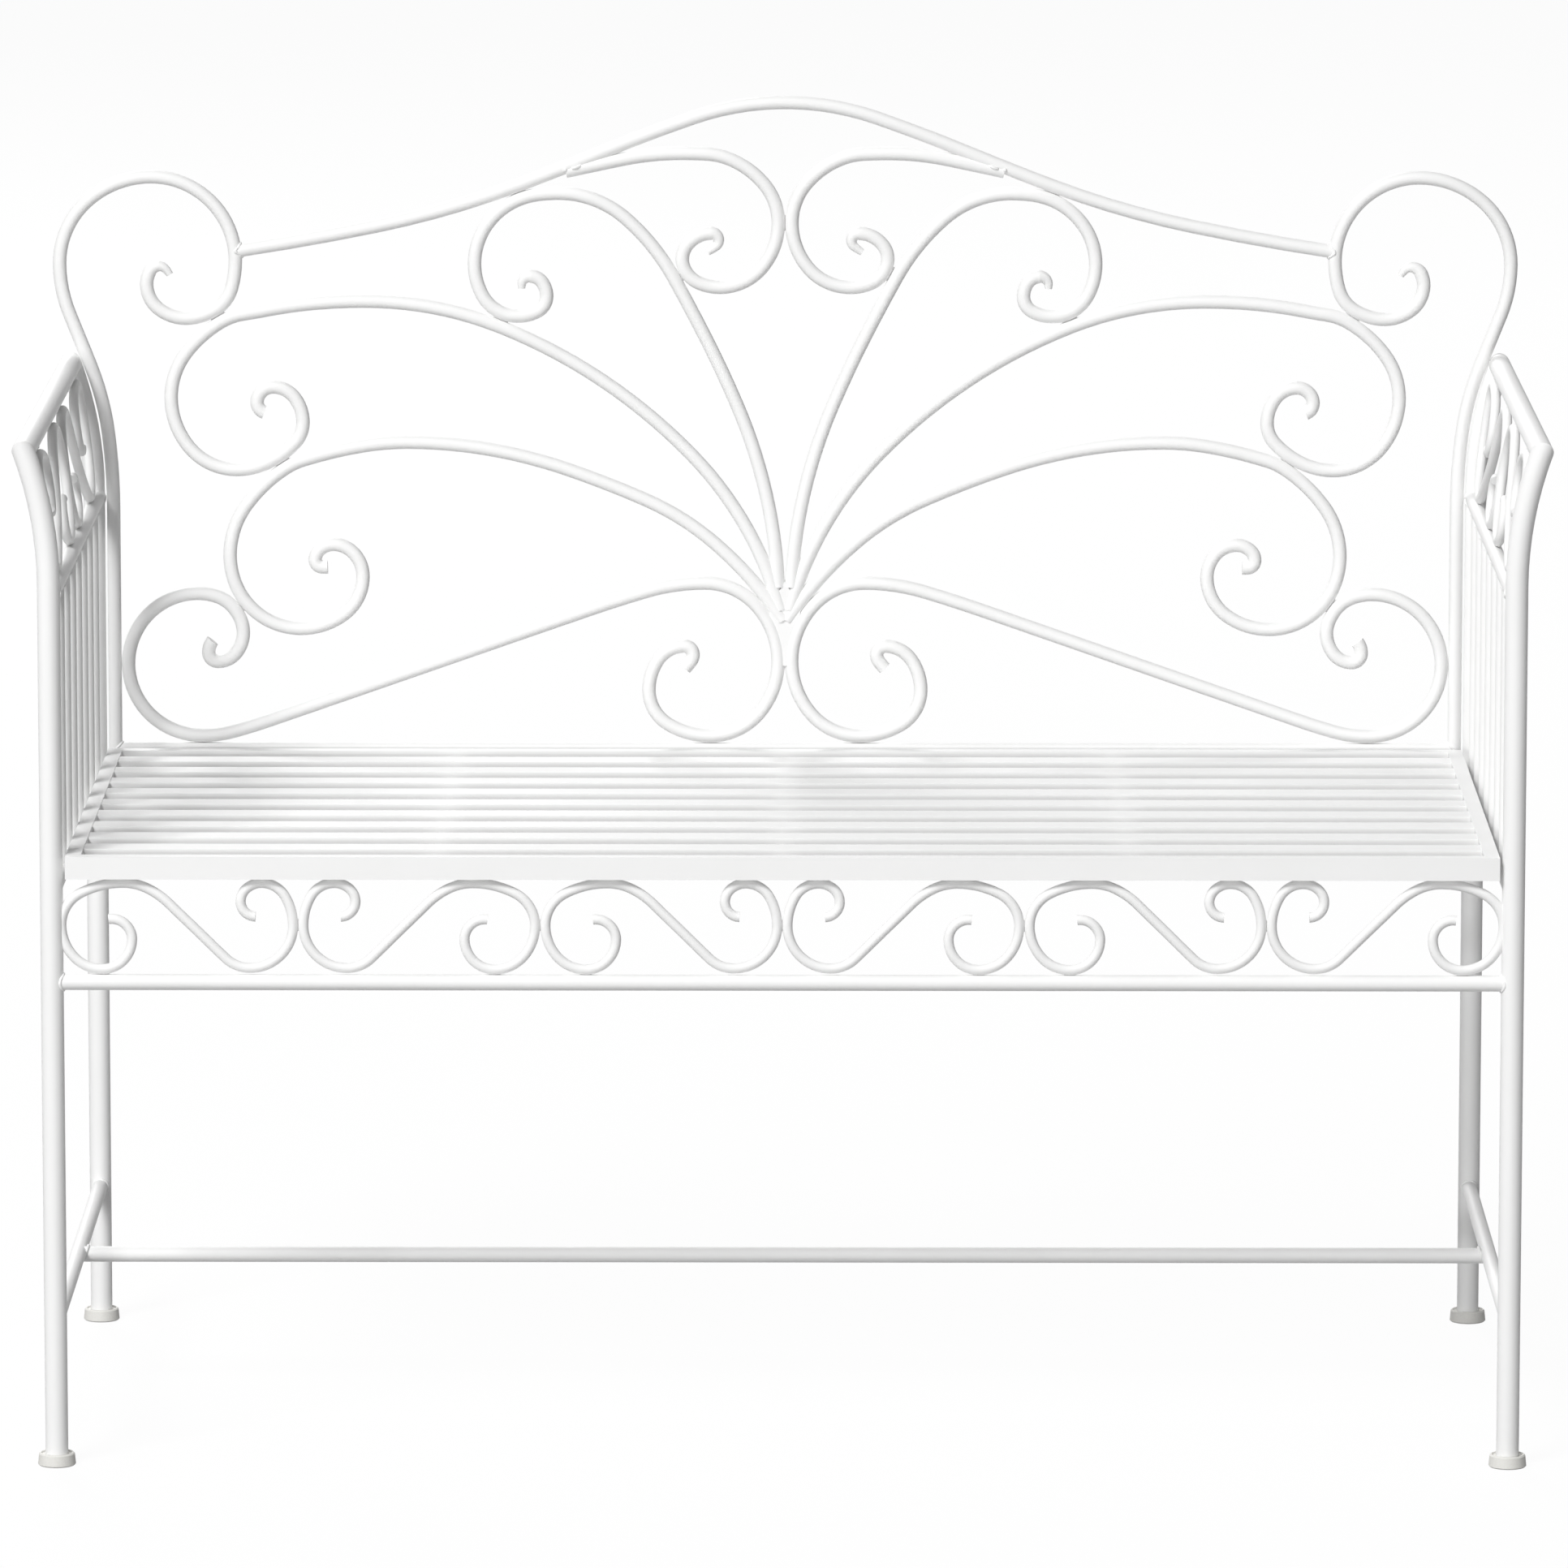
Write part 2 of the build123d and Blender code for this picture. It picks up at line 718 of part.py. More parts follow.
top_scroll = scroll(
    back_plane,
    [
        grid(32.5, 89.3, 12.5),
        grid(15.4, 92.1, 0),
        grid(8.2, 91.2, -22),
        (by_twin, back_rail_top + (crest_z - back_rail_top) * 0.813, -90),
        grid(9.7, 71.3, 180),
        beside(first_meets_top, 119, -1),
        grid(10.95, 79.7, 0),
    ],
    back_rod,
    ([], -1),
    tip=[(1.1, 141), (12.0, 7)],
)

second_coped = cut_to_fit(second_scroll, third_scroll, first_scroll)
third_coped = cut_to_fit(third_scroll, lower_scroll)
stile_drilled = cut_to_fit(stile, back_bolt_bores.part)
save_pair(stile_drilled, "back_stile")
save(crest, "crest_rail")
save(bottom_rail, "back_bottom_rail")
save_pair(lower_scroll, "lower_back_scroll")
save_pair(third_coped, "third_back_scroll")
save_pair(second_coped, "second_back_scroll")
save_pair(first_scroll, "first_back_scroll")
save_pair(cut_to_fit(top_scroll, crest), "top_back_scroll")


# Hub: a spade-shaped block into which the lower ends of the scrolls are laid

hub_front = leg_y - rod + hub_proud
hub_top = grid(0, 25.5, 0)[:2]
shoulder = grid(2.3, 21.1, 0)[:2]
waist = grid(2.3, 20.1, 0)[:2]
hub_tip = grid(0.5, 12.7, 0)[:2]
with BuildPart() as hub:
    with BuildSketch(Plane.XZ.offset(-hub_front)):
        with BuildLine():
            side_line = Polyline(hub_top, shoulder, waist, hub_tip)
            JernArc(side_line @ 1, (0, -1), -hub_tip[0], 90)
            mirror(about=Plane.YZ)
        make_face()
    extrude(amount=hub_front - leg_y - rod - hub_web)
    for laid_in in (lower_scroll, third_coped, second_coped, first_scroll):
        add(laid_in, mode=Mode.SUBTRACT)
        add(mirrored(laid_in, Plane.YZ), mode=Mode.SUBTRACT)
save(hub.part, "hub_block")


# The back panel's stiles are bolted to the rear legs below the seat, over coped spacers

with BuildPart() as left_spacers:
    with BuildSketch(Plane.YZ.offset(-leg_x)):
        with Locations(*[(leg_y, height) for height in back_bolt_heights]):
            Circle(back_bolt_diameter * 0.9)
    extrude(amount=leg_x - stile_x)
    add(rear_leg_envelope, mode=Mode.SUBTRACT)
    add(stile, mode=Mode.SUBTRACT)
    add(back_bolt_bores.part, mode=Mode.SUBTRACT)
with BuildPart() as back_spacers:
    add(left_spacers.part)
    mirror(left_spacers.part, about=Plane.YZ)
save(back_spacers.part, "back_spacers")

back_bolt = button_bolt(back_bolt_diameter, back_bolt_length)
with BuildPart() as back_bolts:
    with Locations(
        *[
            Location((-back_bolt_start, leg_y, height), (0, 90, 0))
            for height in back_bolt_heights
        ]
    ):
        add(back_bolt)
    mirror(about=Plane.YZ)
save(back_bolts.part, "back_bolts")
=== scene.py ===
"""Finishes and studio for the scrolled iron daybed.

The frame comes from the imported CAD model. Each node of it gets the finish of the real piece: powder coat
over steel, moulded rubber or white enamel. The weld beads between the rods are made here. Sizes are in
metres where nothing else is said.
"""

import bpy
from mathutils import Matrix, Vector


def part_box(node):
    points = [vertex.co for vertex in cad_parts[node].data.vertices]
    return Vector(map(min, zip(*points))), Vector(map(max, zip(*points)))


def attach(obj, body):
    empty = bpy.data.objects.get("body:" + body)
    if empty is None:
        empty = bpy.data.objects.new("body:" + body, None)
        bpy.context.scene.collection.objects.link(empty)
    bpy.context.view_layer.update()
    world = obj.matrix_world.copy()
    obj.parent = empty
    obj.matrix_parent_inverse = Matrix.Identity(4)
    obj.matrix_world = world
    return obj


bl_info = {
    "name": "Scrolled Iron Daybed",
    "version": (1, 0, 0),
    "blender": (4, 5, 0),
    "location": "View3D > Sidebar > Daybed",
    "description": "Powder coat, weld beads, feet, bolts and studio for the daybed",
    "category": "Object",
}

import math
from itertools import combinations, product

import bmesh
import bpy
import numpy as np
from bpy.props import FloatProperty, FloatVectorProperty, PointerProperty
from mathutils import Euler, Vector
from mathutils.bvhtree import BVHTree

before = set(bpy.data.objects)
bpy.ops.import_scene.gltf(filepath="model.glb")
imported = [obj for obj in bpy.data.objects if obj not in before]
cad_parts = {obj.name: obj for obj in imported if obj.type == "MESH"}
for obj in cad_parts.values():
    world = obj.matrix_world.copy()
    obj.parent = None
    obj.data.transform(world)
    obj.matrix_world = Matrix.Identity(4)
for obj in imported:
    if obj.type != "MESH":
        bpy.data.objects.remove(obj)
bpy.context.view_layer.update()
MM = 0.001

FEET = [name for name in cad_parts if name.endswith("_foot")]
BOLTS = [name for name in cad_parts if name.endswith("_bolts")]
COATED = sorted(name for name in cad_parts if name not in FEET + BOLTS)
COAT = "satin_white_powder_coat"

TOUCH = 0.5 * MM  # nearer than this, two rods are welded
WELD_SPACING = 5 * MM  # contacts further apart than this get a weld each
WELD_POINTS = 4  # fewer points than this are a mere graze, which isn't welded
HUB_REACH = 20 * MM  # this near to the hub, its channels hold the rods, and no bead joins them
TUBE_SIDES = 10  # of a bead's or fillet's round section

BEAD_STEPS = 28  # along a bead
BEAD_SIZE = 0.42  # of the rod's radius: the bead's own radius, and how far its middle stands out
BEAD_RIPPLE = 0.07  # of the bead's thickness
BEAD_FULLNESS = 4  # the power that keeps a bead thick until near its ends
BEAD_TIP = 0.02  # keeps the ends of a bead from closing to a point

RING_ROUNDNESS = 0.45  # a contact rounder than this ...
RING_SPREAD = 2.2 * MM  # ... and wider than this is the end of a rail or bar, and gets a fillet
RING_RIM = 0.8  # of the end's reach: points beyond it lie on the end's rim
RIM_POINTS = 8  # fewer points than this don't give the rim's outline
FILLET_STEPS = 40  # round a fillet
FILLET_RIPPLE = 0.06  # of the fillet's thickness
RIPPLE_STEPS = 4  # steps of a fillet from one ripple to the next

FLOOR_RADIUS = 30
FLOOR_SIDES = 96
FLOOR_GLOW = 0.95  # how much of the paper's white is its own, so that shadows on it stay faint
LIGHTS = {  # where each soft light stands, and how wide it is
    "key": ((-5.3, -8.5, 10.2), 4.5),
    "front": ((-1.2, -9.5, 1.1), 0.9),
    "back": ((-2.2, 8.4, 5.5), 3.5),
}
LIGHT_TARGET = (0, 0, 0.5)
CAMERA_PLACE = (0.0316, -9.0059, 1.9511)
CAMERA_LENS = 258.4  # millimetres
CAMERA_DIP = 9.14  # degrees down from level
CAMERA_ROLL = -0.00052  # radians
CAMERA_PAN = 0.00356  # radians


def rod_radius_of(node):
    """The radius of a node's rod, where the rod lies in a plane that faces the front."""
    low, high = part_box(node)
    return (high.y - low.y) / 2


BACK_ROD_RADIUS = rod_radius_of("back_bottom_rail")
SMALL_ROD_RADIUS = rod_radius_of("apron_scroll_2")


def srgb(code):
    """A hex colour such as F4F3F0 as linear red, green and blue."""
    parts = [int(code[i : i + 2], 16) / 255 for i in (0, 2, 4)]
    return tuple(c / 12.92 if c <= 0.04045 else ((c + 0.055) / 1.055) ** 2.4 for c in parts)


def add_node(tree, kind, settings=None, inputs=None, links=None):
    """Add a node. inputs sets its sockets, and links joins them to other nodes' sockets."""
    node = tree.nodes.new(kind)
    for key, value in (settings or {}).items():
        setattr(node, key, value)
    for key, value in (inputs or {}).items():
        node.inputs[key].default_value = value
    for key, socket in (links or {}).items():
        tree.links.new(socket, node.inputs[key])
    return node


def new_material(name):
    """An empty material with nodes and its Principled shader already at the output."""
    material = bpy.data.materials.new(name)
    material.use_nodes = True
    material.node_tree.nodes.clear()
    shader = add_node(material.node_tree, "ShaderNodeBsdfPrincipled")
    add_node(
        material.node_tree, "ShaderNodeOutputMaterial", links={"Surface": shader.outputs["BSDF"]}
    )
    return material, material.node_tree, shader


class CoatSettings(bpy.types.PropertyGroup):
    """The white coat on all of the steel."""

    colour: FloatVectorProperty(
        name="Coat colour",
        description="Colour of the powder coat",
        subtype="COLOR",
        size=3,
        min=0,
        max=1,
        default=srgb("F4F4F4"),
    )
    shade: FloatVectorProperty(
        name="Thick coat colour",
        description="Colour of the coat where the powder gathers and cures a little warmer",
        subtype="COLOR",
        size=3,
        min=0,
        max=1,
        default=srgb("F0F0EF"),
    )
    peel: FloatProperty(
        name="Orange peel",
        description="Distance between the swells of the cured powder",
        subtype="DISTANCE",
        unit="LENGTH",
        default=1.6 * MM,
        min=0.5 * MM,
        max=10 * MM,
    )


class WeldSettings(bpy.types.PropertyGroup):
    """The weld beads between the rods."""

    length: FloatProperty(
        name="Bead length",
        description="Length of a bead between two rods that lie against each other",
        subtype="DISTANCE",
        unit="LENGTH",
        default=13 * MM,
        min=4 * MM,
        max=30 * MM,
    )
    ripple: FloatProperty(
        name="Ripple",
        description="Distance between the ripples left by the torch",
        subtype="DISTANCE",
        unit="LENGTH",
        default=1.9 * MM,
        min=0.5 * MM,
        max=5 * MM,
    )
    fillet: FloatProperty(
        name="Fillet size",
        description="Thickness of the bead round the end of a rail or bar",
        subtype="DISTANCE",
        unit="LENGTH",
        default=1.3 * MM,
        min=0.5 * MM,
        max=3 * MM,
    )


class StudioSettings(bpy.types.PropertyGroup):
    """The floor and lights."""

    floor_colour: FloatVectorProperty(
        name="Floor colour",
        description="Colour of the seamless floor",
        subtype="COLOR",
        size=3,
        min=0,
        max=1,
        default=srgb("9A9A9A"),
    )
    key_power: FloatProperty(
        name="Key light",
        description="Power of the large soft light high up at the front left",
        subtype="POWER",
        unit="POWER",
        default=1520,
        min=0,
    )
    front_power: FloatProperty(
        name="Front light",
        description="Power of the light in front, low down and near the middle",
        subtype="POWER",
        unit="POWER",
        default=225,
        min=0,
    )
    back_power: FloatProperty(
        name="Back light",
        description="Power of the soft light behind",
        subtype="POWER",
        unit="POWER",
        default=400,
        min=0,
    )
    sky: FloatProperty(
        name="Room light",
        description="Strength of the light from all round",
        default=0.14,
        min=0,
    )


def coat_material(settings):
    """Polyester powder coat on steel: smooth, satin, with a faint orange peel from the melted powder."""
    material, tree, shader = new_material(COAT)
    patch = 60 * MM  # between the places where the powder gathers
    place = add_node(tree, "ShaderNodeTexCoord").outputs["Object"]
    gathered = add_node(
        tree,
        "ShaderNodeTexNoise",
        inputs={"Scale": 1 / patch, "Detail": 3.0},
        links={"Vector": place},
    )
    tint = add_node(
        tree,
        "ShaderNodeMix",
        {"data_type": "RGBA"},
        {"A": (*settings.colour, 1), "B": (*settings.shade, 1)},
        {"Factor": gathered.outputs["Fac"]},
    )
    gloss = add_node(
        tree,
        "ShaderNodeMapRange",
        inputs={"To Min": 0.46, "To Max": 0.54},
        links={"Value": gathered.outputs["Fac"]},
    )
    peel = add_node(
        tree,
        "ShaderNodeTexNoise",
        inputs={"Scale": 1 / settings.peel, "Detail": 2.0},
        links={"Vector": place},
    )
    bump = add_node(
        tree,
        "ShaderNodeBump",
        inputs={"Strength": 0.06, "Distance": 0.05 * MM},
        links={"Height": peel.outputs["Fac"]},
    )
    tree.links.new(tint.outputs["Result"], shader.inputs["Base Color"])
    tree.links.new(gloss.outputs["Result"], shader.inputs["Roughness"])
    tree.links.new(bump.outputs["Normal"], shader.inputs["Normal"])
    shader.inputs["IOR"].default_value = 1.5
    shader.inputs["Specular IOR Level"].default_value = 0.25
    return material


def rubber_material():
    """Moulded light grey rubber: matt, with a fine grain from the mould."""
    material, tree, shader = new_material("moulded_pale_rubber")
    grain_size = 1.2 * MM
    place = add_node(tree, "ShaderNodeTexCoord").outputs["Object"]
    grain = add_node(
        tree,
        "ShaderNodeTexNoise",
        inputs={"Scale": 1 / grain_size, "Detail": 4.0},
        links={"Vector": place},
    )
    tint = add_node(
        tree,
        "ShaderNodeMix",
        {"data_type": "RGBA"},
        {"A": (*srgb("E6E5E1"), 1), "B": (*srgb("D9D8D3"), 1)},
        {"Factor": grain.outputs["Fac"]},
    )
    bump = add_node(
        tree,
        "ShaderNodeBump",
        inputs={"Strength": 0.25, "Distance": 0.1 * MM},
        links={"Height": grain.outputs["Fac"]},
    )
    tree.links.new(tint.outputs["Result"], shader.inputs["Base Color"])
    tree.links.new(bump.outputs["Normal"], shader.inputs["Normal"])
    shader.inputs["Roughness"].default_value = 0.62
    return material


def enamel_material():
    """White enamel brushed on the bolts' heads: a little glossier than the coat, and slightly uneven."""
    material, tree, shader = new_material("brushed_white_enamel")
    dab = 2.5 * MM  # left by the tip of the brush
    place = add_node(tree, "ShaderNodeTexCoord").outputs["Object"]
    brushing = add_node(
        tree,
        "ShaderNodeTexNoise",
        inputs={"Scale": 1 / dab, "Detail": 3.0},
        links={"Vector": place},
    )
    tint = add_node(
        tree,
        "ShaderNodeMix",
        {"data_type": "RGBA"},
        {"A": (*srgb("F3F3F1"), 1), "B": (*srgb("E9E9E6"), 1)},
        {"Factor": brushing.outputs["Fac"]},
    )
    gloss = add_node(
        tree,
        "ShaderNodeMapRange",
        inputs={"To Min": 0.28, "To Max": 0.42},
        links={"Value": brushing.outputs["Fac"]},
    )
    bump = add_node(
        tree,
        "ShaderNodeBump",
        inputs={"Strength": 0.2, "Distance": 0.08 * MM},
        links={"Height": brushing.outputs["Fac"]},
    )
    tree.links.new(tint.outputs["Result"], shader.inputs["Base Color"])
    tree.links.new(gloss.outputs["Result"], shader.inputs["Roughness"])
    tree.links.new(bump.outputs["Normal"], shader.inputs["Normal"])
    return material


def make_piece(name, form, material):
    """Turn a form into an object with a material."""
    mesh = bpy.data.meshes.new(name)
    form.to_mesh(mesh)
    form.free()
    mesh.materials.append(material)
    piece = bpy.data.objects.new(name, mesh)
    bpy.context.scene.collection.objects.link(piece)
    return piece


def dress(nodes, material):
    """Give CAD nodes a finish."""
    for name in nodes:
        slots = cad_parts[name].data.materials
        slots.clear()
        slots.append(material)


class DAYBED_OT_coat(bpy.types.Operator):
    """Powder coat the steel of the frame, the seat and the scrollwork"""

    bl_idname = "daybed.coat"
    bl_label = "Powder coat"

    def execute(self, context):
        dress(COATED, coat_material(context.scene.daybed_coat))
        return {"FINISHED"}


class DAYBED_OT_feet(bpy.types.Operator):
    """Finish the four feet in moulded rubber"""

    bl_idname = "daybed.feet"
    bl_label = "Feet"

    def execute(self, context):
        dress(FEET, rubber_material())
        return {"FINISHED"}


class DAYBED_OT_bolts(bpy.types.Operator):
    """Finish the bolts in white enamel"""

    bl_idname = "daybed.bolts"
    bl_label = "Bolts"

    def execute(self, context):
        dress(BOLTS, enamel_material())
        return {"FINISHED"}


class Surface:
    """A CAD node's points and its surface, for finding where it meets its neighbours."""

    def __init__(self, name):
        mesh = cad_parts[name].data
        self.points = np.empty(len(mesh.vertices) * 3)
        mesh.vertices.foreach_get("co", self.points)
        self.points = self.points.reshape(-1, 3)
        self.low, self.high = self.points.min(0), self.points.max(0)
        polygons = [face.vertices[:] for face in mesh.polygons]
        self.tree = BVHTree.FromPolygons([Vector(p) for p in self.points], polygons)

    def near(self, other, reach):
        """This node's points that lie within reach of the other's surface."""
        inside = ((self.points > other.low - reach) & (self.points < other.high + reach)).all(1)
        close = [p for p in self.points[inside] if other.tree.find_nearest(p, reach)[0] is not None]
        return np.unique(np.round(np.array(close).reshape(-1, 3), 6), axis=0)


def clusters(points, gap):
    """Sort points into groups that are more than a gap apart."""
    left = list(range(len(points)))
    while left:
        group = [left.pop(0)]
        for index in group:
            distances = np.linalg.norm(points[left] - points[index], axis=1) if left else []
            joined = [i for i, distance in zip(left, distances) if distance < gap]
            group += joined
            left = [i for i in left if i not in joined]
        yield points[group]


def middle_and_directions(points):
    """The middle of some points, and three directions from their widest spread to their narrowest."""
    middle = points.mean(0)
    return middle, np.linalg.svd(points - middle)[2]


def add_tube(form, centres, frames, radii, closed):
    """A tube of rings round a line of centres. frames gives two directions across it at each centre."""
    rings = []
    for centre, (across, up), radius in zip(centres, frames, radii):
        ring = []
        for step in range(TUBE_SIDES):
            angle = math.tau * step / TUBE_SIDES
            offset = across * math.cos(angle) + up * math.sin(angle)
            ring.append(form.verts.new(centre + offset * radius))
        rings.append(ring)
    pairs = list(zip(rings, rings[1:]))
    if closed:
        pairs.append((rings[-1], rings[0]))
    else:
        form.faces.new(rings[0][::-1])
        form.faces.new(rings[-1])
    for first, second in pairs:
        for step in range(TUBE_SIDES):
            ahead = (step + 1) % TUBE_SIDES
            form.faces.new((first[step], first[ahead], second[ahead], second[step]))


def add_bead(form, settings, points, side, rod_radius):
    """A bead in the groove between two rods, on the side of the panel that isn't seen."""
    contact, directions = middle_and_directions(points)
    along = Vector(directions[0]).normalized()
    up = (side - along * side.dot(along)).normalized()
    across = along.cross(up)
    radius = rod_radius * BEAD_SIZE
    middle = Vector(contact) + up * radius
    length = settings.length * rod_radius / BACK_ROD_RADIUS
    centres, radii = [], []
    for step in range(BEAD_STEPS + 1):
        place = 2 * step / BEAD_STEPS - 1
        distance = place * length / 2
        ripple = 1 + BEAD_RIPPLE * math.cos(math.tau * distance / settings.ripple)
        centres.append(middle + along * distance)
        radii.append(radius * math.sqrt(max(1 - place**BEAD_FULLNESS, BEAD_TIP)) * ripple)
    add_tube(form, centres, [(across, up)] * len(centres), radii, closed=False)


def add_fillet(form, settings, points):
    """A bead all the way round the end of a rail or bar."""
    middle, (right, up, axis) = middle_and_directions(points)
    flat = (points - middle) @ np.array([right, up]).T
    widths = np.linalg.norm(flat, axis=1)
    rim = widths > RING_RIM * widths.max()
    if rim.sum() < RIM_POINTS:
        return
    angles = np.arctan2(flat[rim, 1], flat[rim, 0])
    order = np.argsort(angles)
    depths = (points[rim][order] - middle) @ axis
    steps = np.linspace(-math.pi, math.pi, FILLET_STEPS, endpoint=False)
    reach = np.interp(steps, angles[order], widths[rim][order], period=math.tau)
    depth = np.interp(steps, angles[order], depths, period=math.tau)
    centres, frames, radii = [], [], []
    for step, angle in enumerate(steps):
        out = Vector(right * math.cos(angle) + up * math.sin(angle))
        ripple = 1 + FILLET_RIPPLE * math.cos(math.tau * step / RIPPLE_STEPS)
        centres.append(Vector(middle) + out * reach[step] + Vector(axis) * depth[step])
        frames.append((out, Vector(axis)))
        radii.append(settings.fillet * ripple)
    add_tube(form, centres, frames, radii, closed=True)


def weld(name, pairs, side, rod_radius, settings, surfaces):
    """Weld pairs of nodes together where they meet, as one piece. No side means the outer side."""
    form = bmesh.new()
    hub_low, hub_high = (np.array(corner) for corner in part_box("hub_block"))
    for one, other in pairs:
        a, b = surfaces[one], surfaces[other]
        if (a.low > b.high + TOUCH).any() or (b.low > a.high + TOUCH).any():
            continue
        met = np.concatenate([a.near(b, TOUCH), b.near(a, TOUCH)])
        for points in clusters(met, WELD_SPACING):
            middle = points.mean(0)
            in_hub = (middle > hub_low).all() and (middle < hub_high + HUB_REACH).all()
            if len(points) < WELD_POINTS or in_hub:
                continue
            spread = np.linalg.svd(points - middle, compute_uv=False) / math.sqrt(len(points))
            if spread[1] > RING_ROUNDNESS * spread[0] and spread[0] > RING_SPREAD:
                add_fillet(form, settings, points)
            else:
                outward = side or Vector((math.copysign(1, middle[0]), 0, 0))
                add_bead(form, settings, points, outward, rod_radius)
    bmesh.ops.recalc_face_normals(form, faces=form.faces)
    piece = make_piece(name, form, bpy.data.materials[COAT])
    piece.data.shade_smooth()
    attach(piece, "root")


def both(*names):
    """The names of a piece on the left and on the right."""
    return [f"{side}_{name}" for name in names for side in ("left", "right")]


class DAYBED_OT_welds(bpy.types.Operator):
    """Weld the rods, rails and bars together"""

    bl_idname = "daybed.welds"
    bl_label = "Weld beads"

    def execute(self, context):
        settings = context.scene.daybed_welds
        surfaces = {name: Surface(name) for name in COATED}
        scrolls = [name for name in COATED if name.endswith("_back_scroll")]
        back = [*scrolls, *both("back_stile"), "crest_rail", "back_bottom_rail"]
        apron = [name for name in COATED if name.startswith("apron_scroll")]
        arms = [name for name in COATED if name.endswith("_arm_scroll")]
        rails = both("arm_cross_rail", "side_seat_rail", "side_stretcher")
        legs = both("front_leg", "rear_leg")
        rear = Vector((0, 1, 0))
        groups = (
            ("back_welds", list(combinations(back, 2)), rear, BACK_ROD_RADIUS),
            (
                "apron_welds",
                [*combinations(apron, 2), *product(apron, ["apron_rail"]), *product(apron, legs)],
                rear,
                SMALL_ROD_RADIUS,
            ),
            (
                "arm_welds",
                [*combinations(arms, 2), *product(arms, both("arm_rail", "arm_cross_rail"))],
                None,
                SMALL_ROD_RADIUS,
            ),
            (
                "rail_welds",
                [
                    *product([*rails, "apron_rail"], legs),
                    *product(both("side_bars"), rails),
                    *product(["long_stretcher"], both("side_stretcher")),
                ],
                None,
                SMALL_ROD_RADIUS,
            ),
        )
        for name, pairs, side, rod_radius in groups:
            weld(name, pairs, side, rod_radius, settings, surfaces)
        return {"FINISHED"}


def area_light(name, place, size, power):
    """A square soft light that faces the daybed."""
    data = bpy.data.lights.new(name, "AREA")
    data.shape = "SQUARE"
    data.size = size
    data.energy = power
    lamp = bpy.data.objects.new(name, data)
    lamp.location = place
    towards = Vector(LIGHT_TARGET) - Vector(place)
    lamp.rotation_euler = towards.to_track_quat("-Z", "Y").to_euler()
    lamp.visible_camera = False
    bpy.context.scene.collection.objects.link(lamp)


def seen_directly(tree):
    """A socket that is 1 for the rays that show the background to the eye, in gloss or through glass."""
    rays = add_node(tree, "ShaderNodeLightPath").outputs
    either = add_node(
        tree,
        "ShaderNodeMath",
        {"operation": "MAXIMUM"},
        links={0: rays["Is Camera Ray"], 1: rays["Is Glossy Ray"]},
    )
    seen = add_node(
        tree,
        "ShaderNodeMath",
        {"operation": "MAXIMUM"},
        links={0: either.outputs[0], 1: rays["Is Transmission Ray"]},
    )
    return seen.outputs[0]


def floor_material(settings):
    """Seamless white paper: near white to the eye, and it still takes the daybed's soft shadow."""
    material, tree, shader = new_material("seamless_white_paper")
    shader.inputs["Roughness"].default_value = 0.9
    seen = seen_directly(tree)
    paper = add_node(
        tree,
        "ShaderNodeMix",
        {"data_type": "RGBA"},
        {"A": (*settings.floor_colour, 1), "B": (1, 1, 1, 1)},
        {"Factor": seen},
    )
    tree.links.new(paper.outputs["Result"], shader.inputs["Base Color"])
    share = add_node(tree, "ShaderNodeMath", {"operation": "MULTIPLY"}, {1: FLOOR_GLOW}, {0: seen})
    glow = add_node(tree, "ShaderNodeEmission", inputs={"Strength": 1.0})
    mixed = add_node(
        tree,
        "ShaderNodeMixShader",
        links={0: share.outputs[0], 1: shader.outputs["BSDF"], 2: glow.outputs["Emission"]},
    )
    tree.links.new(mixed.outputs["Shader"], tree.nodes["Material Output"].inputs["Surface"])
    return material


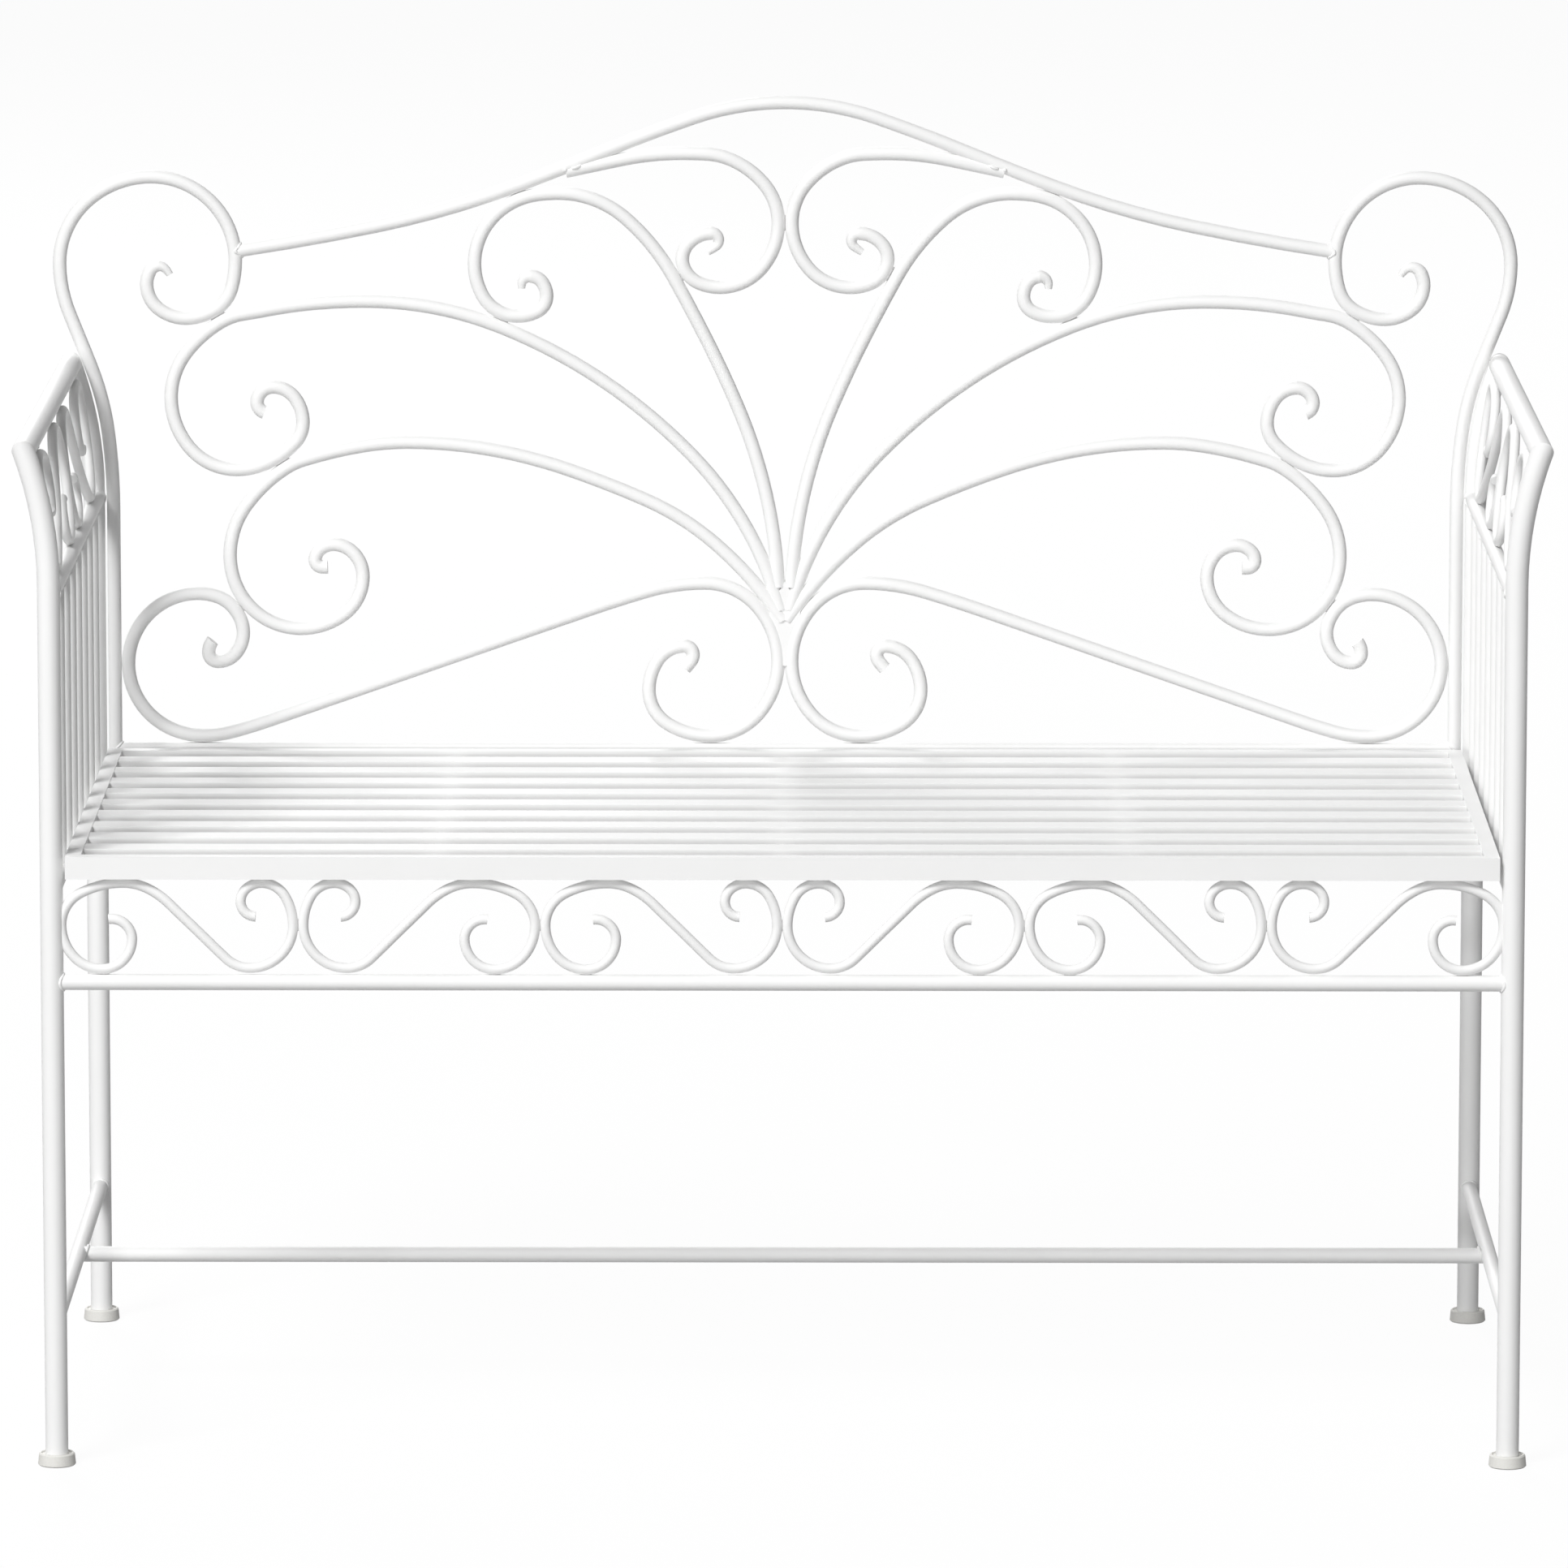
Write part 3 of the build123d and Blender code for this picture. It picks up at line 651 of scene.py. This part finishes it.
class DAYBED_OT_studio(bpy.types.Operator):
    """Set up the floor, the lights, the room and the camera"""

    bl_idname = "daybed.studio"
    bl_label = "Studio"

    def execute(self, context):
        scene = context.scene
        settings = scene.daybed_studio
        scene.view_settings.view_transform = "Standard"

        form = bmesh.new()
        bmesh.ops.create_circle(form, cap_ends=True, radius=FLOOR_RADIUS, segments=FLOOR_SIDES)
        floor = make_piece("floor", form, floor_material(settings))

        world = bpy.data.worlds.new("white_room")
        world.use_nodes = True
        tree = world.node_tree
        tree.nodes.clear()
        strength = add_node(
            tree,
            "ShaderNodeMapRange",
            inputs={"To Min": settings.sky, "To Max": 1.0},
            links={"Value": seen_directly(tree)},
        )
        white = add_node(
            tree,
            "ShaderNodeBackground",
            inputs={"Color": (1, 1, 1, 1)},
            links={"Strength": strength.outputs["Result"]},
        )
        add_node(tree, "ShaderNodeOutputWorld", links={"Surface": white.outputs[0]})
        scene.world = world

        for name, (place, size) in LIGHTS.items():
            area_light(name, place, size, getattr(settings, f"{name}_power"))

        data = bpy.data.cameras.new("camera")
        data.lens = CAMERA_LENS
        camera = bpy.data.objects.new("camera", data)
        camera.location = CAMERA_PLACE
        camera.rotation_euler = Euler((math.radians(90 - CAMERA_DIP), CAMERA_ROLL, CAMERA_PAN))
        scene.collection.objects.link(camera)
        scene.camera = camera
        return {"FINISHED"}


class DAYBED_PT_sidebar(bpy.types.Panel):
    """The daybed's pieces and settings"""

    bl_label = "Daybed"
    bl_idname = "DAYBED_PT_sidebar"
    bl_space_type = "VIEW_3D"
    bl_region_type = "UI"
    bl_category = "Daybed"

    def draw(self, context):
        scene = context.scene
        for group in (scene.daybed_coat, scene.daybed_welds, scene.daybed_studio):
            box = self.layout.box()
            for key in group.__annotations__:
                box.prop(group, key)
        for operator in OPERATORS:
            self.layout.operator(operator.bl_idname)


OPERATORS = (
    DAYBED_OT_coat,
    DAYBED_OT_feet,
    DAYBED_OT_bolts,
    DAYBED_OT_welds,
    DAYBED_OT_studio,
)
CLASSES = (CoatSettings, WeldSettings, StudioSettings, *OPERATORS, DAYBED_PT_sidebar)


def register():
    for cls in CLASSES:
        bpy.utils.register_class(cls)
    bpy.types.Scene.daybed_coat = PointerProperty(type=CoatSettings)
    bpy.types.Scene.daybed_welds = PointerProperty(type=WeldSettings)
    bpy.types.Scene.daybed_studio = PointerProperty(type=StudioSettings)


def unregister():
    del bpy.types.Scene.daybed_studio
    del bpy.types.Scene.daybed_welds
    del bpy.types.Scene.daybed_coat
    for cls in reversed(CLASSES):
        bpy.utils.unregister_class(cls)


def main():
    """Dress the frame."""
    register()
    for name in ("coat", "feet", "bolts", "welds", "studio"):
        getattr(bpy.ops.daybed, name)()


if __name__ == "__main__":
    main()
